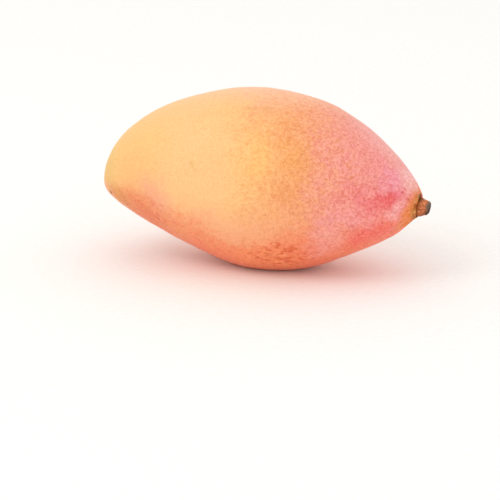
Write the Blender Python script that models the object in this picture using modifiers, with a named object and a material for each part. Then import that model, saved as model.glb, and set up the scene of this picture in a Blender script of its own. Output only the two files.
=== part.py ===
"""Mango: one whole ripe fruit with the woody stub of its stalk, lying on a small flat spot.

Units are metres and +Z is up. The fruit lies along X: the blunt tip points to -X and the stem end
to +X, the back is up, the belly is down and the two cheeks face -Y and +Y. The origin is under the
middle of the whole part, on the surface that the fruit rests on.
"""

import math

import bmesh
import bpy
from mathutils import Matrix, Vector, noise

# The fruit: length from tip to stem, rise of the back and drop of the belly from the line that
# joins the two ends, and half of the thickness from cheek to cheek.
FRUIT_LENGTH = 0.1342
BACK_RISE = 0.0428
BELLY_DROP = 0.0300
HALF_THICKNESS = 0.0330

# How the three outlines swell and shrink along the fruit: factors of 1, s, s^2 and so on, where s
# runs from -1 at the tip to 1 at the stem.
BACK_CURVE = (1.0, -0.03, -0.22, -0.17, -0.05)
BELLY_CURVE = (1.0, 0.22, -0.63, -0.21, 0.32)
CHEEK_CURVE = (1.0, 0.0, -0.20)

# The stem end leans forward over its own length, and the cheeks are widest above the middle.
STEM_LEAN = 0.19
CHEEK_LIFT = 0.05

# Folds of the shoulder that run out from the stem: the angle about X from straight up towards -Y,
# the height (a furrow is negative) and the half width as an angle. The angles are in degrees.
SHOULDER_FOLDS = (
    (2.0, 0.0004, 26.0),
    (62.0, -0.0008, 18.0),
    (108.0, 0.0008, 15.0),
    (141.0, -0.0005, 13.0),
    (174.0, 0.0002, 16.0),
    (215.0, -0.0005, 18.0),
    (256.0, 0.0006, 18.0),
    (298.0, -0.0007, 20.0),
)
FOLD_START = 0.004
FOLD_CREST = 0.011
FOLD_END = 0.036

# Slow unevenness of the whole skin, and the little beak where the flower's style dropped off.
SWELL_HEIGHT = 0.0004
SWELL_SIZE = 0.028
BEAK_HEIGHT = 0.0007
BEAK_RADIUS = 0.0045
BEAK_HOLLOW = 0.0002

FLAT_DEPTH = 0.0015
FACES_AROUND = 72
FACES_ALONG = 64
STEM_CROWDING = 0.35

# The stem stub and the shallow round seat that it stands in.
SEAT_RADIUS = 0.0044
SEAT_DEPTH = 0.0021
SEAT_GAP = 0.0003
STUB_RISE = 0.0008
STUB_TILT = math.radians(-7.0)
STUB_STEPS = 36
STUB_PROFILE = (
    (0.0000, 0.0031),
    (0.0016, 0.0033),
    (0.0023, 0.0032),
    (0.0026, 0.0027),
    (0.0025, 0.0021),
    (0.0026, 0.0014),
    (0.0030, 0.0007),
    (0.0034, 0.0000),
    (0.0038, -0.0007),
    (0.0041, -0.0013),
    (0.0041, -0.0018),
    (0.0000, -0.0018),
)

SKIN_COLOUR = (0.93, 0.42, 0.18, 1.0)
WOOD_COLOUR = (0.33, 0.14, 0.05, 1.0)


def clear_scene():
    for item in list(bpy.data.objects):
        bpy.data.objects.remove(item, do_unlink=True)


def new_collection(name):
    collection = bpy.data.collections.new(name)
    bpy.context.scene.collection.children.link(collection)
    return collection


def new_material(name, colour, roughness):
    material = bpy.data.materials.new(name)
    material.use_nodes = True
    shader = material.node_tree.nodes["Principled BSDF"]
    shader.inputs["Base Color"].default_value = colour
    shader.inputs["Roughness"].default_value = roughness
    shader.inputs["Metallic"].default_value = 0.0
    return material


def new_object(name, mesh, collection):
    item = bpy.data.objects.new(name, mesh)
    collection.objects.link(item)
    return item


def curve_value(factors, s):
    """The sum of factors[n] * s^n."""
    return sum(factor * s**power for power, factor in enumerate(factors))


def smooth_step(low, high, value):
    """0 below low, 1 above high and a smooth rise between them."""
    t = min(max((value - low) / (high - low), 0.0), 1.0)
    return t * t * (3.0 - 2.0 * t)


def angle_apart(a, b):
    """The smaller angle between two directions, in degrees."""
    return abs((a - b + 180.0) % 360.0 - 180.0)


def skin_point(unit):
    """Take a point of the unit sphere, with its poles on X, to the smooth skin of the mango."""
    from_stem = math.acos(min(max(unit.x, -1.0), 1.0))
    from_stem -= STEM_CROWDING * math.sin(from_stem)
    s, girth = math.cos(from_stem), math.sin(from_stem)
    around = math.atan2(unit.y, unit.z)
    back = BACK_RISE * girth * curve_value(BACK_CURVE, s)
    belly = BELLY_DROP * girth * curve_value(BELLY_CURVE, s)
    cheek = HALF_THICKNESS * girth * curve_value(CHEEK_CURVE, s)
    height = (back - belly) / 2 + (back + belly) / 2 * math.cos(around)
    lean = STEM_LEAN * ((1.0 + s) / 2) ** 2
    return Vector((
        FRUIT_LENGTH / 2 * s + lean * height,
        cheek * math.sin(around) * (1.0 + CHEEK_LIFT * math.cos(around)),
        height,
    ))


def shoulder_relief(point, stem):
    """Height of the soft ridges and furrows that fan out from the stem."""
    reach = (point - stem).length
    strength = smooth_step(FOLD_START, FOLD_CREST, reach)
    strength *= 1.0 - smooth_step(FOLD_CREST, FOLD_END, reach)
    angle = math.degrees(math.atan2(-point.y, point.z - stem.z)) % 360.0
    return strength * sum(
        height * math.exp(-((angle_apart(angle, middle) / width) ** 2))
        for middle, height, width in SHOULDER_FOLDS
    )


def beak_relief(point, beak):
    """Height of the small beak near the tip, and of the hollow that follows it on the belly."""
    bump = math.exp(-(((point - beak).length / BEAK_RADIUS) ** 2))
    hollow_middle = beak + Vector((2.6 * BEAK_RADIUS, 0.0, -1.8 * BEAK_RADIUS))
    hollow = math.exp(-(((point - hollow_middle).length / (2.0 * BEAK_RADIUS)) ** 2))
    return BEAK_HEIGHT * bump - BEAK_HOLLOW * hollow


def raise_relief(shape):
    """Move every vertex along its normal by the folds, the beak and the slow unevenness."""
    shape.normal_update()
    stem = max(shape.verts, key=lambda vertex: vertex.co.x).co.copy()
    beak = min(shape.verts, key=lambda vertex: vertex.co.x + 0.5 * vertex.co.z).co.copy()
    moves = []
    for vertex in shape.verts:
        height = shoulder_relief(vertex.co, stem) + beak_relief(vertex.co, beak)
        height += SWELL_HEIGHT * noise.noise(vertex.co / SWELL_SIZE)
        moves.append(vertex.normal * height)
    for vertex, move in zip(shape.verts, moves):
        vertex.co += move


def cut_flat_spot(shape):
    """Slice the lowest part of the belly off level and close the cut with one flat face."""
    level = min(vertex.co.z for vertex in shape.verts) + FLAT_DEPTH
    cut = bmesh.ops.bisect_plane(
        shape,
        geom=shape.verts[:] + shape.edges[:] + shape.faces[:],
        plane_co=(0.0, 0.0, level),
        plane_no=(0.0, 0.0, -1.0),
        clear_outer=True,
    )
    edges = [item for item in cut["geom_cut"] if isinstance(item, bmesh.types.BMEdge)]
    bmesh.ops.edgeloop_fill(shape, edges=edges)
    bmesh.ops.recalc_face_normals(shape, faces=shape.faces[:])


def build_fruit(parts):
    """One solid for skin and flesh, from a sphere whose vertices follow the outlines."""
    shape = bmesh.new()
    bmesh.ops.create_uvsphere(
        shape,
        u_segments=FACES_AROUND,
        v_segments=FACES_ALONG,
        radius=1.0,
        matrix=Matrix.Rotation(math.radians(90.0), 4, "Y"),
    )
    for vertex in shape.verts:
        vertex.co = skin_point(vertex.co)
    raise_relief(shape)
    cut_flat_spot(shape)
    mesh = bpy.data.meshes.new("fruit")
    shape.to_mesh(mesh)
    shape.free()
    mesh.shade_smooth()
    fruit = new_object("fruit", mesh, parts)
    mesh.materials.append(new_material("mango skin", SKIN_COLOUR, 0.45))
    return fruit


def stub_direction():
    return Vector((math.cos(STUB_TILT), 0.0, math.sin(STUB_TILT)))


def cut_seat(fruit, cutters):
    """Sink the shallow round seat of the stalk into the stem end, and return its middle."""
    stem_x = max(vertex.co.x for vertex in fruit.data.vertices)
    seat_floor = Vector((stem_x - SEAT_DEPTH, 0.0, STUB_RISE))
    depth = 4 * SEAT_DEPTH
    shape = bmesh.new()
    bmesh.ops.create_cone(
        shape,
        cap_ends=True,
        segments=STUB_STEPS,
        radius1=SEAT_RADIUS,
        radius2=SEAT_RADIUS,
        depth=depth,
        matrix=Matrix.Rotation(math.radians(90.0) - STUB_TILT, 4, "Y"),
    )
    mesh = bpy.data.meshes.new("seat_cutter")
    shape.to_mesh(mesh)
    shape.free()
    cutter = new_object("seat_cutter", mesh, cutters)
    cutter.location = seat_floor + stub_direction() * depth / 2
    cutter.display_type = "WIRE"
    cutter.hide_render = True
    cut = fruit.modifiers.new("stem seat", "BOOLEAN")
    cut.operation = "DIFFERENCE"
    cut.solver = "EXACT"
    cut.object = cutter
    return seat_floor


def build_stub(parts, seat_floor):
    """A turned profile: broken end at the top, waist, and the swollen foot in its seat."""
    mesh = bpy.data.meshes.new("stem_stub")
    points = [(radius, 0.0, height) for radius, height in STUB_PROFILE]
    mesh.from_pydata(points, [(n, n + 1) for n in range(len(points) - 1)], [])
    stub = new_object("stem_stub", mesh, parts)
    turn = stub.modifiers.new("turned", "SCREW")
    turn.steps = turn.render_steps = STUB_STEPS
    turn.use_merge_vertices = True
    turn.merge_threshold = 0.00001
    foot = STUB_PROFILE[-1][1]
    stub.rotation_euler = (0.0, math.radians(90.0) - STUB_TILT, 0.0)
    stub.location = seat_floor + stub_direction() * (SEAT_GAP - foot)
    mesh.materials.append(new_material("stem wood", WOOD_COLOUR, 0.85))
    return stub


def stand_on_origin(parts):
    """Move the part so that its box is centred on X and Y and stands on Z = 0."""
    graph = bpy.context.evaluated_depsgraph_get()
    points = []
    for item in parts.objects:
        solid = item.evaluated_get(graph)
        points += [solid.matrix_world @ vertex.co for vertex in solid.data.vertices]
    low = Vector(map(min, *points))
    high = Vector(map(max, *points))
    shift = Vector((-(low.x + high.x) / 2, -(low.y + high.y) / 2, -low.z))
    for item in bpy.data.objects:
        item.location += shift


def main():
    clear_scene()
    parts = new_collection("mango")
    cutters = new_collection("cutters")
    fruit = build_fruit(parts)
    seat_floor = cut_seat(fruit, cutters)
    build_stub(parts, seat_floor)
    stand_on_origin(parts)


main()
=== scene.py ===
# %% [markdown]
# # A ripe mango with the stub of its stalk
#
# A mango of the long, curved kind lies on its belly. The blunt tip is golden, the belly is coral and
# the shoulder that grew in the sun has a pink blush. At the stem end a short broken stub of the
# stalk still sits in a corky collar.
#
# Two pieces make it: the fruit and the stub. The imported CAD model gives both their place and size,
# and each of them is modelled again here with a finer surface. Everything is in metres, in the same
# frame as the CAD, so a piece goes where the CAD says.

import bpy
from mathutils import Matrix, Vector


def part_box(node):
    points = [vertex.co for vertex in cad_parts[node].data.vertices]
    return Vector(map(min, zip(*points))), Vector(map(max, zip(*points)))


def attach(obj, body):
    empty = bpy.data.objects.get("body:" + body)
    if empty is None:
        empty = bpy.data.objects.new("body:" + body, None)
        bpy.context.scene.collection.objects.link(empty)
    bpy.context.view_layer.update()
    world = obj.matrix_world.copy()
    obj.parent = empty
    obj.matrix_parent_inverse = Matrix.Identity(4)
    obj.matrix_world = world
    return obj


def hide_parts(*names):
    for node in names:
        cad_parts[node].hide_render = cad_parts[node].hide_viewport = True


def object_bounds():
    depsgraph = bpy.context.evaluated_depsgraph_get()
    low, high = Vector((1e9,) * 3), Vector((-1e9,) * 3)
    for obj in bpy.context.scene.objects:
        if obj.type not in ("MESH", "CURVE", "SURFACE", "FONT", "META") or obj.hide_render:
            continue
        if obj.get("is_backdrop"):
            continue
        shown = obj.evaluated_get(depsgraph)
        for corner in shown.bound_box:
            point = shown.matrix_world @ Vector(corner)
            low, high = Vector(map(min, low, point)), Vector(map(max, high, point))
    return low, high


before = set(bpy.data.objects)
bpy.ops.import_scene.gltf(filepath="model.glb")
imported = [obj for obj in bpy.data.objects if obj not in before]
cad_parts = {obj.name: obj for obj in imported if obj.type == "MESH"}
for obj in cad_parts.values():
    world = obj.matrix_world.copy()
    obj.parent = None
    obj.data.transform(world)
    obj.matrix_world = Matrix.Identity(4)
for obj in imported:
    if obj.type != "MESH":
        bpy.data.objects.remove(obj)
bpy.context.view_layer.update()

# %% [markdown]
# ## Units and selecting
#
# A fruit is measured in millimetres, so places are written in them and turned into metres once.
#
# An operator works on all that is selected, as a hand would in edit mode. Two helpers choose what
# that is: one makes a single object active, the other picks its faces or vertices by where they are
# and which way they look.

# %% Two helpers for selecting
import math

import bpy
from mathutils import Euler, Vector

MM = 0.001


def in_mm(x, y, z):
    """A place that is given in millimetres."""
    return Vector((x, y, z)) * MM


def only(piece):
    """Leave edit mode, select this object alone and make it the active one."""
    if bpy.context.mode != "OBJECT":
        bpy.ops.object.mode_set(mode="OBJECT")
    bpy.ops.object.select_all(action="DESELECT")
    piece.select_set(True)
    bpy.context.view_layer.objects.active = piece


def pick(piece, kind, test):
    """In edit mode, select the faces or vertices for which test(place, normal) is true."""
    only(piece)
    bpy.ops.object.mode_set(mode="EDIT")
    bpy.ops.mesh.select_mode(type=kind)
    bpy.ops.mesh.select_all(action="DESELECT")
    bpy.ops.object.mode_set(mode="OBJECT")
    faces = kind == "FACE"
    items = piece.data.polygons if faces else piece.data.vertices
    chosen = [item for item in items if test(item.center if faces else item.co, item.normal)]
    for item in chosen:
        item.select = True
    bpy.ops.object.mode_set(mode="EDIT")
    return len(chosen)


print("a millimetre in Blender's metres:", MM)

# %% [markdown]
# ## The camera
#
# It looks at the fruit from the side and a little from above, and from the stem's side of square, so
# the stub shows a bit of its end. The lens is long because small things are photographed from a
# distance, which keeps their outline calm. The fruit sits high in the frame, so the camera points
# slightly below it and a touch to the left of it, and the lens itself is not shifted.

# %% Place the camera
LOOKED_AT = in_mm(-1.63, -0.16, 28.75)
CAMERA_DISTANCE = 0.8
CAMERA_TURN = math.radians(20.0)
CAMERA_RISE = math.radians(15.0)
AIM_BELOW = math.radians(-1.615)
AIM_LEFT = math.radians(0.278)
FOCAL_LENGTH, SENSOR_WIDTH = 144.0, 36.0

towards_camera = Vector((
    math.sin(CAMERA_TURN) * math.cos(CAMERA_RISE),
    -math.cos(CAMERA_TURN) * math.cos(CAMERA_RISE),
    math.sin(CAMERA_RISE),
))
lens = bpy.data.cameras.new("camera")
lens.lens = FOCAL_LENGTH
lens.sensor_width = SENSOR_WIDTH
camera = bpy.data.objects.new("camera", lens)
bpy.context.scene.collection.objects.link(camera)
camera.location = LOOKED_AT + CAMERA_DISTANCE * towards_camera
aim = (-towards_camera).to_track_quat("-Z", "Y") @ Euler((AIM_BELOW, AIM_LEFT, 0.0)).to_quaternion()
camera.rotation_euler = aim.to_euler()
bpy.context.scene.camera = camera
print("camera at, mm:", [round(value / MM) for value in camera.location])

# %% [markdown]
# ## A smooth form to model against
#
# The CAD fruit has the right shape but wide facets. A copy of it is welded, turned back into quads,
# loses the seat of the stalk and gets two rounds of subdivision. It is never shown: it only tells
# the new skin where the surface is, as a clay form tells a mould maker. The copy itself could be the
# skin, but its faces are laid out for the CAD's folds, and the skin needs its own for the collar.

# %% Weld, close and smooth a copy of the CAD fruit
STALK_FOOT = in_mm(63.82, -0.16, 29.51)
STALK_TILT = math.radians(-7.0)
STALK_AXIS = Vector((math.cos(STALK_TILT), 0.0, math.sin(STALK_TILT)))
STALK_TURN = (0.0, math.radians(90.0) - STALK_TILT, 0.0)
STEM_SIDE = 50.0
SEAT_RADIUS, SEAT_DEPTH = 4.6, 0.25
LOOKS_SIDEWAYS = 0.3
TOUCHING = 0.01
SMOOTHING_ROUNDS = 2


def by_stalk(place):
    """How far a place is along the stalk from its foot, and how far out from its axis, in mm."""
    offset = (place - STALK_FOOT) / MM
    along = offset.dot(STALK_AXIS)
    return along, (offset - along * STALK_AXIS).length


def in_seat(place, normal):
    """Whether a face is on the wall or the floor of the round seat that the stalk stands in."""
    along, out = by_stalk(place)
    wall_or_floor = normal.dot(STALK_AXIS) < LOOKS_SIDEWAYS or along < -SEAT_DEPTH
    return place.x > STEM_SIDE * MM and out < SEAT_RADIUS and wall_or_floor


def smooth_round(piece, levels):
    """Apply a Subdivision Surface modifier."""
    only(piece)
    rounding = piece.modifiers.new("rounding", "SUBSURF")
    rounding.levels = rounding.render_levels = levels
    bpy.ops.object.modifier_apply(modifier=rounding.name)


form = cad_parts["fruit"].copy()
form.data = form.data.copy()
form.parent = None
form.name = "form"
bpy.context.scene.collection.objects.link(form)
only(form)
bpy.ops.object.mode_set(mode="EDIT")
bpy.ops.mesh.select_all(action="SELECT")
bpy.ops.mesh.remove_doubles(threshold=TOUCHING * MM)
bpy.ops.mesh.tris_convert_to_quads()
print("faces of the seat taken away:", pick(form, "FACE", in_seat))
bpy.ops.mesh.delete(type="FACE")
bpy.ops.mesh.select_mode(type="EDGE")
bpy.ops.mesh.select_non_manifold(
    extend=False, use_wire=False, use_multi_face=False, use_non_contiguous=False, use_verts=False
)
bpy.ops.mesh.edge_face_add()
smooth_round(form, SMOOTHING_ROUNDS)
print("form:", len(form.data.polygons), "faces")

# %% [markdown]
# ## The skin, from a sphere
#
# A mango is a stretched and bent ball, so a UV sphere is a good start: its rings run round the fruit
# like hoops, and its two poles become the tip and the stem end. The sphere is added on the line
# that joins them, stretched, and its upper and lower halves are resized each by its own amount,
# because the back of a mango is much higher than its belly is deep. The Shrinkwrap modifier then
# lays it on the form. A sculpted or a remeshed surface would do too, but its faces would not follow
# the fruit, and the collar at the stem needs clean rings.

# %% Stretch the sphere and lay it on the form
SEGMENTS = 80
RINGS = 60
POLE_LINE = 28.75
STEM_OPENING = 1.7

low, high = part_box("fruit")
half = (high - low) / 2
middle = Vector(((low.x + high.x) / 2, (low.y + high.y) / 2, POLE_LINE * MM))
bpy.ops.object.mode_set(mode="OBJECT")
bpy.ops.object.select_all(action="DESELECT")
bpy.ops.mesh.primitive_uv_sphere_add(
    segments=SEGMENTS,
    ring_count=RINGS,
    radius=half.y,
    location=middle,
    rotation=(0.0, math.radians(90.0), 0.0),
)
skin = bpy.context.active_object
skin.name = skin.data.name = "mango_skin"
bpy.ops.object.transform_apply(location=True, rotation=True, scale=True)
pick(skin, "VERT", lambda place, normal: True)
bpy.ops.transform.resize(value=(half.x / half.y, 1.0, 1.0), center_override=middle)
pick(skin, "VERT", lambda place, normal: place.z > middle.z + TOUCHING * MM)
bpy.ops.transform.resize(value=(1.0, 1.0, (high.z - middle.z) / half.y), center_override=middle)
pick(skin, "VERT", lambda place, normal: place.z < middle.z - TOUCHING * MM)
bpy.ops.transform.resize(value=(1.0, 1.0, (middle.z - low.z) / half.y), center_override=middle)
opened = pick(skin, "FACE", lambda place, normal: place.x > high.x - STEM_OPENING * MM)
print("faces opened at the stem:", opened)
bpy.ops.mesh.delete(type="FACE")
only(skin)
wrap = skin.modifiers.new("lay on the form", "SHRINKWRAP")
wrap.target = form
wrap.wrap_method = "NEAREST_SURFACEPOINT"
bpy.ops.object.modifier_apply(modifier=wrap.name)
radii = [by_stalk(vertex.co)[1] for vertex in skin.data.vertices if vertex.co.x > STEM_SIDE * MM]
print("skin:", len(skin.data.polygons), "faces, opening is narrowest at, mm:", round(min(radii), 1))

# %% [markdown]
# ## Small pushes with proportional editing
#
# The photograph shows a shoulder that is a touch leaner than the CAD and a belly that draws in
# under the stalk. A sculpting brush would press them in, but its strokes need a window. So one
# vertex is moved in each place, and proportional editing draws its neighbours after it, as a finger
# would press soft clay. The same helper presses in the scar later on.

# %% Lean shoulder and drawn-in neck
PUSHES = (
    # name, then place, move and reach in mm
    ("shoulder", (54, 0, 49), (-0.4, 0, -0.5), 22.0),
    ("neck", (62, -2, 23), (-0.2, 0, 1.0), 8.0),
)


def press_in(piece, place, move, reach):
    """Move the vertex nearest to a place, and those within reach (in mm) with it."""
    target = min(piece.data.vertices, key=lambda vertex: (vertex.co - place).length).co.copy()
    pick(piece, "VERT", lambda spot, normal: (spot - target).length < TOUCHING * MM)
    bpy.ops.transform.translate(
        value=move,
        use_proportional_edit=True,
        proportional_edit_falloff="SMOOTH",
        proportional_size=reach * MM,
    )
    only(piece)
    return [round(value / MM, 1) for value in target]


for title, place_mm, move_mm, reach in PUSHES:
    pressed = press_in(skin, in_mm(*place_mm), in_mm(*move_mm), reach)
    print(title, "pressed at, mm:", pressed)

# %% [markdown]
# ## The collar round the stalk
#
# Where the stalk leaves the fruit, the skin swells into a low corky lip and then drops into a narrow
# crevice. The opened end of the sphere is bridged to a circle of as many vertices, which is the
# outside of the lip, and the circle is extruded inwards step by step: over the lip, down the
# crevice and across the seat under the stub, where a last face closes it. A torus laid on the skin
# would be quicker, but it would show a seam, and on the fruit the lip is the skin itself. The lip is
# higher above the stub than below it, so its circle sits off the stalk's axis and each step comes
# nearer to it.

# %% Bridge to the lip and extrude the crevice
LIP_OUTSIDE = (5.0, 0.3, 0.5)
CREVICE_STEPS = (
    # radius, distance along the stalk and height above its axis
    (4.65, 0.6, 0.4), (4.35, 0.55, 0.25), (4.1, 0.2, 0.1),
    (3.95, -0.1, 0.0), (3.9, -0.35, 0.0), (2.0, -0.4, 0.0),
)


def on_stalk(along, lift):
    """A place along the stalk's axis and above it, both in mm."""
    return STALK_FOOT + along * MM * STALK_AXIS + in_mm(0, 0, lift)


def extrude_steps(start, steps):
    """Extrude the selection along the stalk, and resize it to each step's radius."""
    radius, level, lift = start
    for next_radius, next_level, next_lift in steps:
        rise = on_stalk(next_level, next_lift) - on_stalk(level, lift)
        bpy.ops.mesh.extrude_region_move(TRANSFORM_OT_translate={"value": rise})
        bpy.ops.transform.resize(
            value=[next_radius / radius] * 3, center_override=on_stalk(next_level, next_lift)
        )
        radius, level, lift = next_radius, next_level, next_lift


bpy.ops.object.select_all(action="DESELECT")
bpy.ops.mesh.primitive_circle_add(
    vertices=SEGMENTS,
    radius=LIP_OUTSIDE[0] * MM,
    location=on_stalk(*LIP_OUTSIDE[1:]),
    rotation=STALK_TURN,
)
bpy.ops.object.transform_apply(location=True, rotation=True, scale=True)
skin.select_set(True)
bpy.context.view_layer.objects.active = skin
bpy.ops.object.join()
bpy.ops.object.mode_set(mode="EDIT")
bpy.ops.mesh.select_mode(type="EDGE")
bpy.ops.mesh.select_all(action="DESELECT")
bpy.ops.mesh.select_non_manifold(
    extend=False, use_multi_face=False, use_non_contiguous=False, use_verts=False
)
bpy.ops.mesh.bridge_edge_loops(number_cuts=2, interpolation="LINEAR")


def on_lip(place, normal):
    """Whether a vertex is on the circle that the skin was bridged to."""
    from_middle = place - on_stalk(*LIP_OUTSIDE[1:])
    in_plane = abs(from_middle.dot(STALK_AXIS)) < TOUCHING * MM
    return in_plane and abs(from_middle.length - LIP_OUTSIDE[0] * MM) < TOUCHING * MM


print("vertices round the lip:", pick(skin, "VERT", on_lip))
bpy.ops.mesh.select_mode(type="EDGE")
extrude_steps(LIP_OUTSIDE, CREVICE_STEPS)
bpy.ops.mesh.edge_face_add()
bpy.ops.mesh.select_all(action="SELECT")
bpy.ops.mesh.normals_make_consistent(inside=False)
smooth_round(skin, SMOOTHING_ROUNDS)
print("skin:", len(skin.data.polygons), "faces")

# %% [markdown]
# ## Unevenness that a lens can see
#
# No fruit is as even as a formula. Slow swells, fine dimples and a knobbly collar could be bump in
# the material, but then the outline and the exported mesh would stay too even. They are pressed
# into the mesh with Displace modifiers, each masked by a vertex group, so that the flat spot stays
# flat and only the collar is rough.

# %% Press swells, dimples and cork into the skin
FLAT_SPOT_TOP, FLAT_SPOT_FADE = 0.1, 1.2
FLAT_SPOT_SLACK = 0.06
COLLAR_INSIDE, COLLAR_EDGE, COLLAR_BACK = 4.0, 9.0, 6.0
COLLAR_FADE = 0.7
SKIN_WAVES = (
    # name, vertex group, grain and height in mm
    ("slow swells", "open skin", 16.0, 0.5),
    ("dimples", "open skin", 4.5, 0.16),
    ("fine dimples", "open skin", 1.8, 0.05),
    ("cork lumps", "collar", 1.5, 0.3),
)


def press_pattern(piece, title, grain, height, layers, group=""):
    """Press a cloudy pattern into a piece; its grain and height are in mm."""
    pattern = bpy.data.textures.new(title, "CLOUDS")
    pattern.noise_scale = grain * MM
    pattern.noise_depth = layers
    press = piece.modifiers.new(title, "DISPLACE")
    press.texture = pattern
    press.texture_coords = "LOCAL"
    press.vertex_group = group
    press.strength = height * MM
    press.mid_level = 0.5
    only(piece)
    bpy.ops.object.modifier_apply(modifier=press.name)


groups = {name: skin.vertex_groups.new(name=name) for name in ("open skin", "collar")}
in_collar = 0
for vertex in skin.data.vertices:
    along, out = by_stalk(vertex.co)
    faded = max(out - COLLAR_INSIDE, 0.0) / (COLLAR_EDGE - COLLAR_INSIDE)
    near_stalk = max(0.0, 1.0 - faded) if along > -COLLAR_BACK else 0.0
    lifted = min(1.0, max(0.0, vertex.co.z / MM - FLAT_SPOT_TOP) / FLAT_SPOT_FADE)
    groups["open skin"].add([vertex.index], lifted * (1.0 - near_stalk), "REPLACE")
    if near_stalk > 0.0:
        groups["collar"].add([vertex.index], near_stalk**COLLAR_FADE, "REPLACE")
        in_collar += 1
for title, group, grain, height in SKIN_WAVES:
    press_pattern(skin, title, grain, height, layers=1, group=group)
flattened = pick(skin, "VERT", lambda place, normal: place.z < FLAT_SPOT_SLACK * MM)
bpy.ops.transform.resize(value=(1.0, 1.0, 0.0), center_override=(0.0, 0.0, 0.0))
print("vertices in the collar:", in_collar, "and on the flat spot:", flattened)

# %% [markdown]
# ## The scar at the tip
#
# The flower's style leaves a tiny dark pit just below the blunt tip. A Boolean cut would give it a
# hard rim, so it is pressed straight into the finished skin. Its brown colour comes with the other
# small marks further down.

# %% Press in the pit
SCAR = (-63.0, -8.3, 25.8)
SCAR_PUSH, SCAR_REACH = (0.4, 0.15, 0.25), 1.7
print("scar at, mm:", press_in(skin, in_mm(*SCAR), in_mm(*SCAR_PUSH), SCAR_REACH))
bpy.ops.object.shade_smooth()

# %% [markdown]
# ## The stub of the stalk
#
# The stub is the woody end of the stalk, snapped off when the fruit was picked: a swollen foot, a
# cone of ridged bark and a dark, rounded break. A turned profile would be straight and round, and
# the real stub leans and is ridged. So it starts as a thin cylinder in the seat, and its upper face
# is extruded and resized up the stub, each step a little off the axis, and drawn in and sunk at the
# top to give the break a rim. Every third column of vertices is then pulled in a little, which
# leaves ridges.

# %% Extrude the stub from its foot
COLUMNS = 42
FURROW_EVERY = 3
FURROW_START, FURROW_END, FURROW_DEPTH = 0.7, 4.4, 0.22
BREAK_RADIUS = 2.2
LOOKS_ALONG = 0.9
STUB_FOOT = (3.6, 0.2, 0.0)
FOOT_THICKNESS = 0.3
STUB_STEPS = (
    # radius, distance along the stalk and height above its axis
    (3.8, 0.5, 0.0), (3.85, 0.9, 0.0), (3.7, 1.4, 0.0), (3.45, 2.0, 0.05), (3.2, 2.6, 0.1),
    (3.0, 3.1, 0.15), (2.85, 3.5, 0.2), (2.85, 3.9, 0.25), (2.7, 4.3, 0.3), (2.35, 4.6, 0.33),
)
BREAK_STEPS = ((1.9, 4.72, 0.35), (1.4, 4.45, 0.35), (0.6, 4.3, 0.35))
BARK_WAVES = (
    # name, grain and height in mm
    ("bark", 1.1, 0.45),
    ("wood fibres", 0.4, 0.14),
)

bpy.ops.object.mode_set(mode="OBJECT")
bpy.ops.object.select_all(action="DESELECT")
bpy.ops.mesh.primitive_cylinder_add(
    vertices=COLUMNS,
    radius=STUB_FOOT[0] * MM,
    depth=FOOT_THICKNESS * MM,
    location=on_stalk(STUB_FOOT[1] - FOOT_THICKNESS / 2, 0.0),
    rotation=STALK_TURN,
)
stub = bpy.context.active_object
stub.name = stub.data.name = "stalk_stub"
bpy.ops.object.transform_apply(location=True, rotation=True, scale=True)
pick(stub, "FACE", lambda place, normal: normal.dot(STALK_AXIS) > LOOKS_ALONG)
extrude_steps(STUB_FOOT, STUB_STEPS + BREAK_STEPS)


def in_furrow(place, normal):
    """Whether a vertex of the bark, below the break, is in a column that becomes a furrow."""
    along, out = by_stalk(place)
    offset = place - STALK_FOOT
    column = round(math.atan2(offset.y, offset.z) / (2 * math.pi) * COLUMNS) % COLUMNS
    on_bark = FURROW_START < along < FURROW_END and out > BREAK_RADIUS
    return on_bark and column % FURROW_EVERY == 0


print("vertices in the furrows:", pick(stub, "VERT", in_furrow))
bpy.ops.transform.shrink_fatten(value=-FURROW_DEPTH * MM)
smooth_round(stub, SMOOTHING_ROUNDS)
for title, grain, height in BARK_WAVES:
    press_pattern(stub, title, grain, height, layers=2)
bpy.ops.object.shade_smooth()
print("stub:", len(stub.data.polygons), "faces")

# %% [markdown]
# ## Colours and nodes
#
# Colours are written as the sRGB hex values that a paint picker shows, and one function turns them
# to the linear values that light is reckoned in. Another small function adds a node, sets it up and
# links its inputs, so a material reads from top to bottom like a recipe.

# %% Two helpers for materials
MIXED_COLOUR = 2  # a Mix node's third output is the one for colours


def linear(colour):
    """An sRGB hex colour as linear red, green, blue and alpha."""
    parts = [int(colour[start:start + 2], 16) / 255 for start in (1, 3, 5)]
    return [p / 12.92 if p <= 0.04045 else ((p + 0.055) / 1.055) ** 2.4 for p in parts] + [1.0]


def add_node(tree, kind, settings=(), **links):
    """Add a node; settings name its properties or sockets, links name sockets and what feeds them."""
    node = tree.nodes.new(kind)

    def socket(name):
        place = name.lstrip("_").replace("_", " ")
        if place.isdigit():
            return node.inputs[int(place)]
        return next(item for item in node.inputs if item.enabled and item.name == place)

    for name, value in dict(settings).items():
        if name == "stops":
            stops = node.color_ramp.elements
            while len(stops) < len(value):
                stops.new(0.5)
            for stop, (position, colour) in zip(stops, value):
                stop.position = position
                stop.color = linear(colour)
        elif hasattr(node, name):
            setattr(node, name, value)
        else:
            socket(name).default_value = value
    for name, source in links.items():
        tree.links.new(source, socket(name))
    return node


print("a picked grey of #808080 is this in linear light:", round(linear("#808080")[0], 3))

# %% [markdown]
# ## Mango skin
#
# Ripe mango skin is a thin waxy cuticle over coloured cells. It is smooth enough to give the eye a
# soft wide gloss, and its colour is never flat. The ground is golden, the blush lies over it in
# ragged clouds, and pale breathing pores dot it all over. It could be painted on an unwrapped skin,
# but a closed round form stretches a painting at its poles. Here the colours follow the fruit's own
# length and height in millimetres, so they hold from every side.
#
# Two noises first push the places about, so that the edges of the blush wander as they do on fruit.

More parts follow.
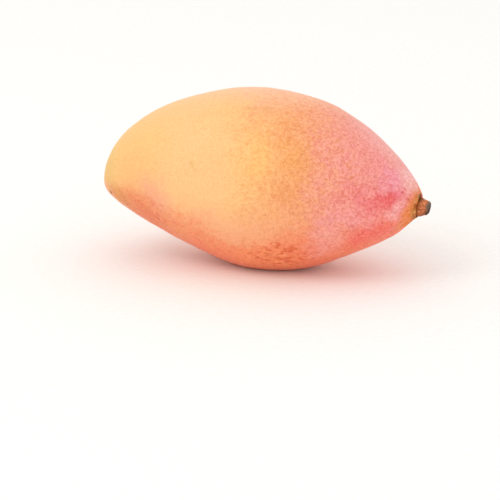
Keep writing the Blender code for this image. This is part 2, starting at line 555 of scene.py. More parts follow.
# %% Start the skin's material with wandering coordinates
skin_finish = bpy.data.materials.new("waxy mango skin")
skin_finish.use_nodes = True
tree = skin_finish.node_tree
skin_shader = tree.nodes["Principled BSDF"]
place = add_node(tree, "ShaderNodeTexCoord").outputs["Object"]

CLOUD_SIZE, CLOUD_PUSH = 18.0, 14.0
WISP_SIZE, WISP_PUSH = 3.4, 7.0
clouds = add_node(
    tree, "ShaderNodeTexNoise", {"Scale": 1 / (CLOUD_SIZE * MM), "Detail": 2.0}, Vector=place
)
wisps = add_node(
    tree,
    "ShaderNodeTexNoise",
    {"Scale": 1 / (WISP_SIZE * MM), "Detail": 4.0, "Roughness": 0.65},
    Vector=place,
)
centred = add_node(
    tree,
    "ShaderNodeVectorMath",
    {"operation": "ADD", "_1": [-(CLOUD_PUSH + WISP_PUSH) / 2 * MM] * 3},
    _0=place,
).outputs[0]
pushed = add_node(
    tree,
    "ShaderNodeVectorMath",
    {"operation": "MULTIPLY_ADD", "_1": [CLOUD_PUSH * MM] * 3},
    _0=clouds.outputs["Color"],
    _2=centred,
).outputs[0]
wander = add_node(
    tree,
    "ShaderNodeVectorMath",
    {"operation": "MULTIPLY_ADD", "_1": [WISP_PUSH * MM] * 3},
    _0=wisps.outputs["Color"],
    _2=pushed,
).outputs[0]
print("places wander by up to, mm:", (CLOUD_PUSH + WISP_PUSH) / 2)

# %% [markdown]
# ### Mottle
#
# The red of a blush sits in single cells, so where it ends it breaks up into flecks instead of
# fading like paint. A coarse and a fine noise are added to one value round zero, the mottle, and
# every share of colour further down is nudged by it.

# %% A mottle from two grains
STIPPLE_SIZE = 0.95
COARSE_PART, FINE_PART = 0.6, 0.5
stipple = add_node(
    tree,
    "ShaderNodeTexNoise",
    {"Scale": 1 / (STIPPLE_SIZE * MM), "Detail": 3.0, "Roughness": 0.65, "Distortion": 0.8},
    Vector=place,
).outputs["Fac"]
coarse = add_node(
    tree,
    "ShaderNodeMath",
    {"operation": "MULTIPLY_ADD", "_1": COARSE_PART, "_2": -(COARSE_PART + FINE_PART) / 2},
    _0=wisps.outputs["Fac"],
).outputs[0]
mottle = add_node(
    tree, "ShaderNodeMath", {"operation": "MULTIPLY_ADD", "_1": FINE_PART}, _0=stipple, _2=coarse
).outputs[0]
print("mottle of two grains, mm:", WISP_SIZE, STIPPLE_SIZE)

# %% [markdown]
# ### Ground colour and blush
#
# The tip of a mango ripens golden and its stem end pink. A colour ramp runs from one to the other
# through peach, orange and salmon, and each stop has its place along the fruit in millimetres, so
# it can be set against the real one with a ruler. The back reddens a little sooner than the belly
# side, so the distance leans with height.

# %% From tip to stem
TIP_END, STEM_END = -70.0, 66.0
LEAN = 0.16
LEAN_SHIFT = 6.0
LENGTHWISE_MOTTLE = 0.22
LENGTHWISE_COLOURS = (
    (-66.0, "#eec470"),
    (-52.0, "#f8c476"),
    (-20.0, "#fbc888"),
    (0.0, "#fcc480"),
    (14.0, "#fab47c"),
    (27.0, "#f9ac86"),
    (42.0, "#f8a49a"),
    (56.0, "#f69a98"),
    (66.0, "#f6a0a2"),
)


def ramp_stops(colours, start, end):
    """Colour stops at places in millimetres, for a ramp that runs from start to end."""
    return [((position - start) / (end - start), colour) for position, colour in colours]


lengthwise = add_node(
    tree,
    "ShaderNodeVectorMath",
    {"operation": "DOT_PRODUCT", "_1": (1.0, 0.0, LEAN)},
    _0=wander,
).outputs["Value"]
lengthwise = add_node(
    tree,
    "ShaderNodeMapRange",
    {"From Min": (TIP_END + LEAN_SHIFT) * MM, "From Max": (STEM_END + LEAN_SHIFT) * MM},
    Value=lengthwise,
).outputs[0]
lengthwise = add_node(
    tree,
    "ShaderNodeMath",
    {"operation": "MULTIPLY_ADD", "_1": LENGTHWISE_MOTTLE},
    _0=mottle,
    _2=lengthwise,
).outputs[0]
colour = add_node(
    tree,
    "ShaderNodeValToRGB",
    {"stops": ramp_stops(LENGTHWISE_COLOURS, TIP_END, STEM_END)},
    Fac=lengthwise,
).outputs["Color"]
print("lengthwise colours:", len(LENGTHWISE_COLOURS))

# %% [markdown]
# ### The coral belly
#
# The belly reddens towards the bottom, and the band of coral follows the belly's own curve. The
# coral is partly that blush and partly painted shade with a warm painted reflection from below, so
# it deepens where the belly turns under. Plain height would cut it off level, so a height above
# that curve is worked out as Z minus a parabola along the fruit. The coral lies over the ground
# colour with a strength that grows downwards.

# %% Up from the belly
BELLY_MIDDLE = 12.0
BELLY_BEND = 5.2
BELLY_RISE = 9.0
# the coral is partly blush and partly painted shade with a warm painted reflection on the lower belly
CORAL = "#fd8662"
CORAL_TOP, CORAL_BOTTOM = 33.0, 2.0
CORAL_MOTTLE = 40.0
CORAL_STRENGTH = 0.9
axes = add_node(tree, "ShaderNodeSeparateXYZ", {}, Vector=wander)
from_middle = add_node(
    tree, "ShaderNodeMath", {"operation": "SUBTRACT", "_1": BELLY_MIDDLE * MM}, _0=axes.outputs["X"]
).outputs[0]
squared = add_node(
    tree, "ShaderNodeMath", {"operation": "MULTIPLY"}, _0=from_middle, _1=from_middle
).outputs[0]
curve = add_node(
    tree, "ShaderNodeMath", {"operation": "MULTIPLY", "_1": BELLY_BEND}, _0=squared
).outputs[0]
curve = add_node(
    tree, "ShaderNodeMath", {"operation": "MINIMUM", "_1": BELLY_RISE * MM}, _0=curve
).outputs[0]
above_belly = add_node(
    tree, "ShaderNodeMath", {"operation": "SUBTRACT"}, _0=axes.outputs["Z"], _1=curve
).outputs[0]
above_belly = add_node(
    tree,
    "ShaderNodeMath",
    {"operation": "MULTIPLY_ADD", "_1": CORAL_MOTTLE * MM},
    _0=mottle,
    _2=above_belly,
).outputs[0]
coral_share = add_node(
    tree,
    "ShaderNodeMapRange",
    {
        "interpolation_type": "SMOOTHSTEP",
        "From Min": CORAL_TOP * MM,
        "From Max": CORAL_BOTTOM * MM,
        "To Max": CORAL_STRENGTH,
    },
    Value=above_belly,
).outputs[0]
colour = add_node(
    tree, "ShaderNodeMix", {"data_type": "RGBA", "B": linear(CORAL)}, Factor=coral_share, A=colour
).outputs[MIXED_COLOUR]
print("coral fades out above the belly at, mm:", CORAL_TOP)

# %% [markdown]
# ### Clouds of colour
#
# What the two sweeps can't say is laid on as soft clouds, each one an ellipsoid with a middle, a
# size, a slant and a colour: a band of gold on the cheek, the deep rose by the stem with a painted
# highlight along a ridge across it, and a coral flush under the tip. They could be painted on the
# vertices, but a table of clouds can be read and changed. The mottle thins and thickens each of
# them. The far cheek, which the photograph does not show, gets quieter ones of its own. Two clouds
# are painted light: the highlight on the ridge, and painted shade under the tip.

# %% Lay the clouds over the ground
CLOUD_MOTTLE = 2.5
CLOUDS = (
    # name, middle and half sizes in mm, slant about Y in degrees, colour, strength, softness
    ("back peach", (8, 0, 73), (50, 28, 13), 0, "#fcc29a", 0.75, 0.8),
    ("gold", (8, -24, 50), (15, 26, 22), 5, "#fdc772", 0.75, 0.9),
    ("pale cheek", (-18, -28, 38), (30, 20, 18), 0, "#fbc789", 0.8, 0.8),
    ("ochre band", (22, -23, 49), (10, 26, 26), -10, "#f4ae4c", 0.54, 0.9),
    ("low ochre", (18, -29, 38), (12, 14, 10), 0, "#f09e5c", 0.6, 0.9),
    ("peach cheek", (0, -29, 21), (28, 14, 12), 0, "#fab48a", 0.6, 0.8),
    ("tip gold", (-65, -6, 39), (12, 26, 16), 0, "#eabc66", 0.8, 0.8),
    ("tip peach", (-46, -22, 38), (28, 16, 19), 10, "#f8b876", 0.5, 0.9),
    ("tip tongue", (-36, -24, 31), (17, 13, 11), 15, "#f4a48a", 0.55, 0.9),
    ("tip flush", (-44, -18, 23), (22, 17, 13), 20, "#ec8850", 0.85, 0.9),
    ("tip amber", (-57, -13, 26.5), (12, 14, 10), 20, "#de8e2e", 0.8, 0.8),
    ("low peach", (-24, -20, 16), (20, 13, 8), 18, "#f8aa74", 0.65, 0.8),
    ("low orange", (8, -18, 8), (28, 16, 10), 0, "#ffa468", 0.65, 0.8),
    ("low coral", (35.5, -14, 12.6), (18, 14, 8.6), -15, "#fe9264", 0.72, 0.8),
    ("deep rose", (48.8, -14, 22), (14.8, 13, 8), -20, "#fc7464", 0.82, 0.8),
    ("red trail", (51, -18, 34.5), (10.5, 9, 5), -5, "#f47a80", 0.7, 0.8),
    ("low pink", (33.5, -20, 20), (8, 12, 17), 23, "#fdb2ac", 0.65, 0.9),
    ("rose veil", (42, -22, 28.5), (17, 13, 6.5), 0, "#fbaab0", 0.55, 0.9),
    ("upper trail", (44, -21, 38.5), (13, 10, 8), 0, "#f07c84", 0.5, 0.9),
    ("red patch", (57.5, -13.6, 37.2), (8.5, 9, 4.4), -5, "#f06668", 0.8, 0.7),
    ("pink cloud", (56, -10, 43), (10, 11, 8), 0, "#f8a2b6", 0.8, 0.8),
    ("pale shoulder", (50, 4, 54), (26, 15, 11), 40, "#fab6b2", 0.65, 0.8),
    ("pale neck", (61, -3, 42), (8, 11, 10), 0, "#fcc4c4", 0.85, 0.8),
    # painted highlight on the crest of the ridge by the stem
    ("pale ridge", (57.8, -11.5, 31.8), (4, 7, 7.5), 36, "#feb6b6", 0.85, 0.65),
    ("far gold", (-8, 26, 42), (44, 20, 28), 12, "#f6be68", 0.6, 0.9),
    ("far flush", (34, 26, 40), (30, 18, 26), -20, "#f49678", 0.6, 0.9),
    ("far tongue", (10, 24, 56), (20, 14, 9), 25, "#f6a272", 0.6, 0.9),
    ("far peach", (16, 30, 26), (18, 12, 9), -15, "#f8b47c", 0.6, 0.9),
    # painted shade on the underside of the tip, where it turns away from the light
    ("dull underside", (-44, -2, 11), (27, 17, 11), 20, "#bc6c30", 0.6, 0.9),
)


def share_inside(name, middle, sizes, slant, strength, softness, places, thinned_by):
    """A cloud's share: full strength in the middle of an ellipsoid and nothing outside it.

    The middle and the half sizes are in mm, and the slant about Y is in degrees. The nodes go into
    the tree of the material that is being made.
    """
    inside = add_node(
        tree,
        "ShaderNodeMapping",
        {
            "label": name,
            "vector_type": "TEXTURE",
            "Location": in_mm(*middle),
            "Rotation": (0.0, math.radians(slant), 0.0),
            "Scale": in_mm(*sizes),
        },
        Vector=places,
    ).outputs[0]
    ball = add_node(
        tree, "ShaderNodeTexGradient", {"gradient_type": "SPHERICAL"}, Vector=inside
    ).outputs["Fac"]
    ragged = add_node(
        tree, "ShaderNodeMath", {"operation": "MULTIPLY"}, _0=ball, _1=thinned_by
    ).outputs[0]
    return add_node(
        tree,
        "ShaderNodeMapRange",
        {"interpolation_type": "SMOOTHSTEP", "From Max": softness, "To Max": strength},
        Value=ragged,
    ).outputs[0]


patchy = add_node(
    tree, "ShaderNodeMath", {"operation": "MULTIPLY_ADD", "_1": CLOUD_MOTTLE, "_2": 1.0}, _0=mottle
).outputs[0]
for name, middle_mm, sizes_mm, slant, tint, strength, softness in CLOUDS:
    share = share_inside(
        name, middle_mm, sizes_mm, slant, strength, softness, places=wander, thinned_by=patchy
    )
    colour = add_node(
        tree, "ShaderNodeMix", {"data_type": "RGBA", "B": linear(tint)}, Factor=share, A=colour
    ).outputs[MIXED_COLOUR]
print("clouds of colour:", len(CLOUDS))

# %% [markdown]
# ### Flecks
#
# Where gold turns to blush the skin has flecks of ochre, a few millimetres long and drawn out along
# the fruit, and on the belly they are red-brown. There are hundreds, too many to place by hand. A
# noise that is squeezed lengthwise gives their shapes, and only its peaks are kept. Zones like the
# clouds above say where they may be.

# %% Flecks drawn out along the fruit
FLECK_SIZE = 1.8
FLECK_STRETCH = 0.6
FLECK_FROM, FLECK_FULL = 0.46, 0.72
FLECK_SOFTNESS = 0.5
FLECK_ZONES = (
    # name, middle and half sizes in mm, colour, strength
    ("ochre flecks", (20, -20, 46), (32, 30, 40), "#ec9c50", 0.4),
    ("belly flecks", (19, -22, 9), (19, 14, 11), "#e25a28", 0.75),
    ("flush flecks", (-42, -18, 22), (24, 16, 13), "#ea6c48", 0.6),
    ("rose flecks", (54, -12, 30), (18, 20, 20), "#ea6a6c", 0.5),
    ("far flecks", (20, 20, 42), (40, 26, 40), "#ee9458", 0.45),
)
squeezed = add_node(
    tree, "ShaderNodeMapping", {"Scale": (FLECK_STRETCH, 1.0, 1.0)}, Vector=place
).outputs[0]
fleck_noise = add_node(
    tree,
    "ShaderNodeTexNoise",
    {"Scale": 1 / (FLECK_SIZE * MM), "Detail": 1.0, "Distortion": 0.4},
    Vector=squeezed,
).outputs["Fac"]
fleck_peaks = add_node(
    tree,
    "ShaderNodeMapRange",
    {"interpolation_type": "SMOOTHSTEP", "From Min": FLECK_FROM, "From Max": FLECK_FULL},
    Value=fleck_noise,
).outputs[0]
for name, middle_mm, sizes_mm, tint, strength in FLECK_ZONES:
    zone = share_inside(
        name, middle_mm, sizes_mm, 0.0, strength, FLECK_SOFTNESS, places=wander, thinned_by=patchy
    )
    share = add_node(
        tree, "ShaderNodeMath", {"operation": "MULTIPLY"}, _0=zone, _1=fleck_peaks
    ).outputs[0]
    colour = add_node(
        tree, "ShaderNodeMix", {"data_type": "RGBA", "B": linear(tint)}, Factor=share, A=colour
    ).outputs[MIXED_COLOUR]
print("zones with flecks:", len(FLECK_ZONES))

# %% [markdown]
# ### Cork round the stalk
#
# The collar is dry and tan. It could be a material of its own on the collar's faces, but then its
# edge would follow the faces. It is coloured in rings by the distance from a point beside the
# stalk's foot, from the orange where the blush ends to the brown in the crevice. That brown is
# partly the cork's own and partly painted shade in the crevice.

# %% Tan collar
CORK_MIDDLE = in_mm(63.6, -2.6, 28.6)
CORK_RINGS = (
    # colour, where it is full and where it ends in mm, strength
    ("#ee8e58", 7.6, 10.8, 0.85),
    ("#d28c46", 5.6, 8.2, 0.9),
    # brown of the cork, darkened as painted shade in the crevice
    ("#a8682e", 3.4, 4.9, 0.7),
)
cork_distance = add_node(
    tree, "ShaderNodeVectorMath", {"operation": "DISTANCE", "_1": CORK_MIDDLE}, _0=wander
).outputs["Value"]
for tint, inside, outside, strength in CORK_RINGS:
    cork_share = add_node(
        tree,
        "ShaderNodeMapRange",
        {
            "interpolation_type": "SMOOTHSTEP",
            "From Min": outside * MM,
            "From Max": inside * MM,
            "To Max": strength,
        },
        Value=cork_distance,
    ).outputs[0]
    colour = add_node(
        tree, "ShaderNodeMix", {"data_type": "RGBA", "B": linear(tint)}, Factor=cork_share, A=colour
    ).outputs[MIXED_COLOUR]
print("collar reaches out to, mm:", max(outside for tint, inside, outside, strength in CORK_RINGS))

# %% [markdown]
# ### Small marks
#
# A fruit that hung in a tree has small marks of its own: the scar at the tip, brown specks, a rubbed
# streak on the back and dark flecks in the cork. A noise could scatter such marks, but these belong
# to this fruit. So each is a little ball or bar of colour in the skin, at the place where the
# photograph shows it. The far side of the collar, which it does not show, carries on from the near
# side. A few are painted light rather than marks: painted shadow in the crevice round the stalk and
# under the collar, and a painted highlight on the crest of the ridge by the stem.

# %% Specks and streaks
MARK_SOFTNESS = 0.7
MARKS = (
    # name, middle and half sizes in mm, slant about Y in degrees, colour, strength
    ("scar", SCAR, (1.4, 1.4, 1.4), 0, "#6a4428", 0.9),
    ("cheek speck", (-18.5, -30.4, 46.8), (1.6, 2, 2), 0, "#dcae60", 0.4),
    ("lower cheek speck", (-17, -31, 44.4), (1.4, 2, 1.2), 0, "#e0b46c", 0.35),
    ("upper speck", (-34.3, -27.2, 44.3), (1.4, 2, 1.2), 0, "#e0b46c", 0.35),
    ("rubbed streak", (0.5, -16.5, 67), (4.5, 3, 1), -3, "#e4a460", 0.4),
    ("second streak", (7, -15.5, 67.2), (3.5, 3, 1), 5, "#e0a05c", 0.4),
    ("flush spot", (-45, -18.2, 24.6), (1.6, 2, 1.2), 0, "#e46838", 0.8),
    ("second flush spot", (-37.4, -20.3, 20.6), (1.2, 2, 2), 0, "#e86c3c", 0.8),
    ("third flush spot", (-53.4, -13.8, 23), (1.8, 2, 1), 0, "#c0703c", 0.6),
    ("belly speck", (14.5, -20.4, 9.6), (2.2, 3, 1.3), 15, "#dc5020", 0.55),
    ("second belly speck", (17, -19.5, 7.6), (2.6, 3, 1), -10, "#d64a18", 0.6),
    ("third belly speck", (19.5, -24, 13), (1.8, 3, 1.1), -20, "#dc5828", 0.55),
    ("fourth belly speck", (10.2, -23.6, 11.6), (2, 3, 1), 10, "#e05e30", 0.55),
    ("fifth belly speck", (7.4, -21, 8.6), (1.6, 3, 0.9), 0, "#dc5828", 0.5),
    ("neck speck", (59.9, -8.8, 37), (1, 1, 0.9), 0, "#c44c4c", 0.6),
    ("ridge speck", (62, -7.4, 34.1), (1, 1, 1.4), 0, "#d05858", 0.5),
    ("red patch end", (57.4, -12.6, 36.2), (5, 5, 2.8), -8, "#ec585c", 0.5),
    # painted highlight on the crest of the ridge
    ("ridge light", (59, -11.2, 32.6), (2.4, 5, 4.4), 36, "#fcbcbc", 0.45),
    ("low ridge speck", (57.9, -13.3, 30), (0.9, 2, 1.1), 20, "#c8827c", 0.45),
    ("orange collar", (62.5, -6.5, 26.5), (4.8, 8.5, 9.5), 18, "#ee8c48", 0.8),
    ("low collar", (60.2, -6, 24.4), (7.5, 8, 4.8), -50, "#f0863e", 0.8),
    ("far collar", (63, 6.8, 27.5), (6, 6.5, 9), 0, "#e08e50", 0.8),
    ("far rim", (64, 5.6, 28), (1.6, 3, 5.5), 0, "#bc8040", 0.7),
    ("tan rim", (63.6, -6.4, 27.9), (1.4, 3, 4.6), 5, "#bc8844", 0.7),
    ("brown rim below", (63.5, -4.1, 25.9), (1.7, 2.6, 1.8), 0, "#9c6a38", 0.8),
    ("pale neck edge", (62.8, -2.5, 39.5), (4.5, 7, 5), 0, "#fcc2be", 0.85),
    # painted shadow deep in the crevice above the stalk
    ("crevice top", (65.1, -1.3, 34.2), (1.3, 2.8, 1.2), 0, "#5a2a00", 0.88),
    # painted shadow in the crevice beside the stalk
    ("crevice side", (64.3, -5.4, 31), (1, 1.4, 2), 0, "#a4580c", 0.9),
    ("cork fleck", (64.2, -5.2, 28.5), (0.9, 1.2, 0.6), 0, "#e8bc7c", 0.8),
    ("brown fleck", (64, -5.2, 27.5), (1.3, 1.2, 0.7), 0, "#a06010", 0.9),
    # cork brown, darkened as painted shade under the collar
    ("brown underside", (64.3, 1, 22.3), (7, 7, 4.2), -35, "#6c2e00", 1.0),
)
for name, middle_mm, sizes_mm, slant, tint, strength in MARKS:
    share = share_inside(
        name, middle_mm, sizes_mm, slant, strength, MARK_SOFTNESS, places=place, thinned_by=patchy
    )
    colour = add_node(
        tree, "ShaderNodeMix", {"data_type": "RGBA", "B": linear(tint)}, Factor=share, A=colour
    ).outputs[MIXED_COLOUR]
print("small marks:", len(MARKS))

# %% [markdown]
# ### Pores and stipple
#
# The breathing pores of a mango are pale dots of about half a millimetre, two to three millimetres
# apart. Modelled one by one they would take millions of faces. A Voronoi texture scatters points
# through space instead, and the skin shows a dot wherever it passes close to one, so the dots differ
# in size as real ones do. The fine noise of the mottle darkens the cells between them. Both are
# strong in the blush and faint in the gold.

# %% Dots and stipple
PORE_SPACING = 2.3
PORE_EDGE, PORE_MIDDLE, PORE_STRENGTH = 0.36, 0.12, 0.15
PORE_COLOUR = "#ffd0b8"
STIPPLE_FROM, STIPPLE_FULL = 0.42, 0.6
STIPPLE_COLOUR = "#edccbe"
BLUSH_FROM, BLUSH_FULL = 0.5, 0.78
CORAL_FULL = 0.6
SHARE_IN_GOLD, SHARE_IN_CORAL = 0.3, 0.85
blush_share = add_node(
    tree,
    "ShaderNodeMapRange",
    {"From Min": BLUSH_FROM, "From Max": BLUSH_FULL, "To Min": SHARE_IN_GOLD},
    Value=lengthwise,
).outputs[0]
belly_share = add_node(
    tree,
    "ShaderNodeMapRange",
    {"From Max": CORAL_FULL, "To Max": SHARE_IN_CORAL},
    Value=coral_share,
).outputs[0]
blush_share = add_node(
    tree, "ShaderNodeMath", {"operation": "MAXIMUM"}, _0=blush_share, _1=belly_share
).outputs[0]
pores = add_node(
    tree, "ShaderNodeTexVoronoi", {"Scale": 1 / (PORE_SPACING * MM)}, Vector=place
)
pore_dots = add_node(
    tree,
    "ShaderNodeMapRange",
    {
        "interpolation_type": "SMOOTHSTEP",
        "From Min": PORE_EDGE,
        "From Max": PORE_MIDDLE,
        "To Max": PORE_STRENGTH,
    },
    Value=pores.outputs["Distance"],
).outputs[0]
pore_share = add_node(
    tree, "ShaderNodeMath", {"operation": "MULTIPLY"}, _0=pore_dots, _1=blush_share
).outputs[0]
stipple_dots = add_node(
    tree,
    "ShaderNodeMapRange",
    {"From Min": STIPPLE_FROM, "From Max": STIPPLE_FULL},
    Value=stipple,
).outputs[0]
stipple_share = add_node(
    tree, "ShaderNodeMath", {"operation": "MULTIPLY"}, _0=stipple_dots, _1=blush_share
).outputs[0]
colour = add_node(
    tree,
    "ShaderNodeMix",
    {"data_type": "RGBA", "blend_type": "MULTIPLY", "B": linear(STIPPLE_COLOUR)},
    Factor=stipple_share,
    A=colour,
).outputs[MIXED_COLOUR]
colour = add_node(
    tree,
    "ShaderNodeMix",
    {"data_type": "RGBA", "B": linear(PORE_COLOUR)},
    Factor=pore_share,
    A=colour,
).outputs[MIXED_COLOUR]
tree.links.new(colour, skin_shader.inputs["Base Color"])
print("pores lie apart by, mm:", PORE_SPACING)

# %% [markdown]
# ### Gloss and grain of the skin
#
# The wax makes a soft gloss. Its roughness varies a little, and the pores are slightly sunk. The
# cork round the stalk has no wax, so it is rough and has no gloss. Both could be two materials that
# meet at a line, but on the fruit the wax thins out over a few millimetres, so one roughness does.

# %% Finish the skin's shader
WAX_SMOOTHEST, WAX_ROUGHEST = 0.4, 0.5
CORK_ROUGHNESS = 0.95
CORK_REACH, WAX_FROM = 6.5, 9.5
NOISE_LOW, NOISE_HIGH = 0.3, 0.7
PORE_SINK = 0.8
GRAIN_HEIGHT, GRAIN_STRENGTH = 0.06, 0.35
waxy = add_node(
    tree,
    "ShaderNodeMapRange",
    {
        "From Min": NOISE_LOW,
        "From Max": NOISE_HIGH,
        "To Min": WAX_SMOOTHEST,
        "To Max": WAX_ROUGHEST,
    },
    Value=wisps.outputs["Fac"],
).outputs[0]
corky = add_node(
    tree,
    "ShaderNodeMapRange",
    {
        "From Min": CORK_REACH * MM,
        "From Max": WAX_FROM * MM,
        "To Min": CORK_ROUGHNESS,
        "To Max": WAX_SMOOTHEST,
    },
    Value=cork_distance,
).outputs[0]
roughness = add_node(
    tree, "ShaderNodeMath", {"operation": "MAXIMUM"}, _0=waxy, _1=corky
).outputs[0]
sunk = add_node(
    tree,
    "ShaderNodeMath",
    {"operation": "MULTIPLY_ADD", "_1": -PORE_SINK},
    _0=pore_share,
    _2=stipple,
).outputs[0]
grain = add_node(
    tree,
    "ShaderNodeBump",
    {"Strength": GRAIN_STRENGTH, "Distance": GRAIN_HEIGHT * MM},
    Height=sunk,
).outputs[0]
tree.links.new(roughness, skin_shader.inputs["Roughness"])
tree.links.new(grain, skin_shader.inputs["Normal"])
skin_shader.inputs["IOR"].default_value = 1.45
skin_shader.inputs["Sheen Weight"].default_value = 0.06
skin_shader.inputs["Sheen Roughness"].default_value = 0.4
skin_shader.inputs["Sheen Tint"].default_value = linear("#fff0e8")
skin.data.materials.clear()
skin.data.materials.append(skin_finish)
print(skin_finish.name, "has", len(tree.nodes), "nodes")

# %% [markdown]
# ## Stalk wood
#
# The stub is dry bark: orange-brown where it was rubbed, dark in the furrows and almost black on
# the old break. It has hardly any gloss. Wood is often drawn with a wave texture, but this is a
# torn end with no rings to see. So a noise is drawn out along the stalk for the fibres, and the dark
# and the grey places are laid over it as on the skin. Some of them are painted light: painted shade
# at the foot where it sits in the crevice, along the underside of the stub and under the break, and
# a painted highlight on the top of the break.

# %% Bark and break
FIBRE_SIZE, FIBRE_SQUEEZE = 0.625, 0.35
FIBRE_CONTRAST = 1.6
UNEVEN_EDGE = 1.6
BARK_DEPTH, BARK_STRENGTH = 0.15, 0.6
BARK_COLOURS = ((0.3, "#6a3a20"), (0.44, "#a85c34"), (0.55, "#d4784a"), (0.7, "#e89868"))
BARK_ZONES = (
    # colour, where on the stub it starts and is full in mm, strength
    # brown of the foot, darkened as painted shade where it sits in the crevice
    ("#9a5414", 3.0, 1.5, 0.85),
    ("#8e6244", 3.9, 5.2, 0.85),
)
PATCH_SOFTNESS = 0.9
BARK_PATCHES = (
    # name, middle, half sizes in mm, colour, strength
    # grey of the old break, with a painted highlight on its top
    ("grey rim", on_stalk(4.8, 1.4), (1.5, 7.0, 2.4), "#54564a", 0.9),
    ("dark break", on_stalk(4.8, 0.0), (1.0, 2.4, 2.4), "#3c3026", 0.9),
    # painted shade under the break
    ("black underside", on_stalk(4.1, -1.1), (1.6, 6.0, 1.7), "#2a0c00", 1.0),
    # painted shade along the underside of the stub
    ("brown edge", on_stalk(2.4, -3.3), (3.6, 5.0, 1.3), "#5e3210", 0.9),
    # painted shadow in the crevice above the stub's foot
    ("crevice at the top", on_stalk(1.1, 3.4), (1.7, 4.0, 1.6), "#4a2408", 0.7),
)
wood_finish = bpy.data.materials.new("dry stalk bark")
wood_finish.use_nodes = True
tree = wood_finish.node_tree
wood_shader = tree.nodes["Principled BSDF"]
place = add_node(tree, "ShaderNodeTexCoord").outputs["Object"]
along_stalk = add_node(
    tree,
    "ShaderNodeMapping",
    {"vector_type": "TEXTURE", "Location": STALK_FOOT, "Rotation": STALK_TURN, "Scale": [MM] * 3},
    Vector=place,
).outputs[0]
stretched = add_node(
    tree, "ShaderNodeMapping", {"Scale": (1.0, 1.0, FIBRE_SQUEEZE)}, Vector=along_stalk
).outputs[0]
fibres = add_node(
    tree,
    "ShaderNodeTexNoise",
    {"Scale": 1 / FIBRE_SIZE, "Detail": 5.0, "Roughness": 0.65},
    Vector=stretched,
).outputs["Fac"]
bark = add_node(tree, "ShaderNodeValToRGB", {"stops": BARK_COLOURS}, Fac=fibres).outputs["Color"]
fibre_patches = add_node(
    tree,
    "ShaderNodeMath",
    {"operation": "MULTIPLY_ADD", "_1": FIBRE_CONTRAST, "_2": 1 - FIBRE_CONTRAST / 2},
    _0=fibres,
).outputs[0]
height = add_node(tree, "ShaderNodeSeparateXYZ", {}, Vector=along_stalk).outputs["Z"]
uneven_height = add_node(
    tree, "ShaderNodeMath", {"operation": "MULTIPLY_ADD", "_1": UNEVEN_EDGE}, _0=fibres, _2=height
).outputs[0]
for tint, start, end, strength in BARK_ZONES:
    share = add_node(
        tree,
        "ShaderNodeMapRange",
        {"interpolation_type": "SMOOTHSTEP", "From Min": start, "From Max": end, "To Max": strength},
        Value=uneven_height,
    ).outputs[0]
    bark = add_node(
        tree, "ShaderNodeMix", {"data_type": "RGBA", "B": linear(tint)}, Factor=share, A=bark
    ).outputs[MIXED_COLOUR]
for name, middle, sizes_mm, tint, strength in BARK_PATCHES:
    share = share_inside(
        name,
        middle / MM,
        sizes_mm,
        0.0,
        strength,
        PATCH_SOFTNESS,
        places=place,
        thinned_by=fibre_patches,
    )
    bark = add_node(
        tree, "ShaderNodeMix", {"data_type": "RGBA", "B": linear(tint)}, Factor=share, A=bark
    ).outputs[MIXED_COLOUR]
rough_bark = add_node(
    tree,
    "ShaderNodeBump",
    {"Strength": BARK_STRENGTH, "Distance": BARK_DEPTH * MM},
    Height=fibres,
).outputs[0]
tree.links.new(bark, wood_shader.inputs["Base Color"])
tree.links.new(rough_bark, wood_shader.inputs["Normal"])
wood_shader.inputs["Roughness"].default_value = 0.85
stub.data.materials.clear()
stub.data.materials.append(wood_finish)
print(wood_finish.name, "has", len(tree.nodes), "nodes")

# %% [markdown]
# ## Floor
#
# The fruit lies on a matt white sheet of paper, as in a product photograph. A sheet that bends up
# behind the fruit would hide the horizon too, but a wide flat floor does so from every side.

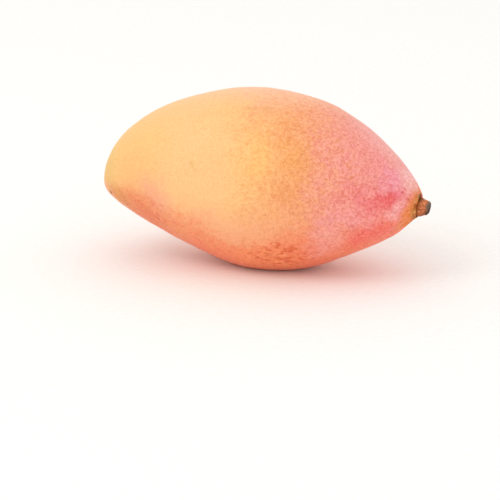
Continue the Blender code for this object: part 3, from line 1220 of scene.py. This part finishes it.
# %% Lay the floor
FLOOR_RADIUS = 2.5
PAPER_GRAIN = 2.5
PAPER_COLOURS = ((0.3, "#f8f8f7"), (0.7, "#fcfcfb"))
bpy.ops.object.mode_set(mode="OBJECT")
bpy.ops.object.select_all(action="DESELECT")
bpy.ops.mesh.primitive_circle_add(vertices=96, radius=FLOOR_RADIUS, fill_type="NGON")
floor = bpy.context.active_object
floor.name = floor.data.name = "floor"
floor_finish = bpy.data.materials.new("matt white paper")
floor_finish.use_nodes = True
tree = floor_finish.node_tree
floor_shader = tree.nodes["Principled BSDF"]
paper = add_node(
    tree,
    "ShaderNodeTexNoise",
    {"Scale": 1 / (PAPER_GRAIN * MM), "Detail": 2.0},
    Vector=add_node(tree, "ShaderNodeTexCoord").outputs["Object"],
).outputs["Fac"]
paper_colour = add_node(
    tree, "ShaderNodeValToRGB", {"stops": PAPER_COLOURS}, Fac=paper
).outputs["Color"]
tree.links.new(paper_colour, floor_shader.inputs["Base Color"])
floor_shader.inputs["Roughness"].default_value = 0.9
floor_shader.inputs["Specular IOR Level"].default_value = 0.2
floor.data.materials.append(floor_finish)
print("floor is wide, mm:", round(2 * FLOOR_RADIUS / MM))

# %% [markdown]
# ## Light
#
# A bright white room lights the fruit from all sides, as for a product photograph, so its shaded
# side stays warm and light. A ring of lamps could do that, but a white world is evener. One big
# soft lamp from the upper left gives the fruit its form. The view transform is the standard one,
# because a filmic one would grey the white and dull the blush.

# %% Light the room and set the lamp
LAMP_PLACE = Vector((-0.55, -0.75, 1.0))
LAMP_WIDTH, LAMP_POWER = 0.7, 2.4
scene = bpy.context.scene
scene.view_settings.view_transform = "Standard"
scene.view_settings.look = "None"
room = bpy.data.worlds.new("white room")
room.use_nodes = True
room.node_tree.nodes["Background"].inputs["Color"].default_value = linear("#fffdfa")
room.node_tree.nodes["Background"].inputs["Strength"].default_value = 1.0
scene.world = room

lamp_light = bpy.data.lights.new("soft lamp", "AREA")
lamp_light.shape = "DISK"
lamp_light.size = LAMP_WIDTH
lamp_light.energy = LAMP_POWER
lamp = bpy.data.objects.new("soft lamp", lamp_light)
scene.collection.objects.link(lamp)
lamp.location = LAMP_PLACE
lamp.rotation_euler = (LOOKED_AT - LAMP_PLACE).to_track_quat("-Z", "Y").to_euler()
print("lamp stands off, mm:", round((LAMP_PLACE - LOOKED_AT).length / MM))

# %% [markdown]
# ## Fasten the pieces
#
# Each new piece rides on the fruit's body and stands for its CAD node, which is hidden. The form has
# done its work and goes. The size of the visual box is printed.

# %% Fasten the pieces to the frame
bpy.data.objects.remove(form, do_unlink=True)
for piece, node, slot in ((skin, "fruit", "skin"), (stub, "stem_stub", "stem")):
    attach(piece, "root")
    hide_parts(node)
floor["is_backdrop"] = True

low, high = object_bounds()
print("visual box, mm:", [round(1000 * size, 1) for size in high - low])
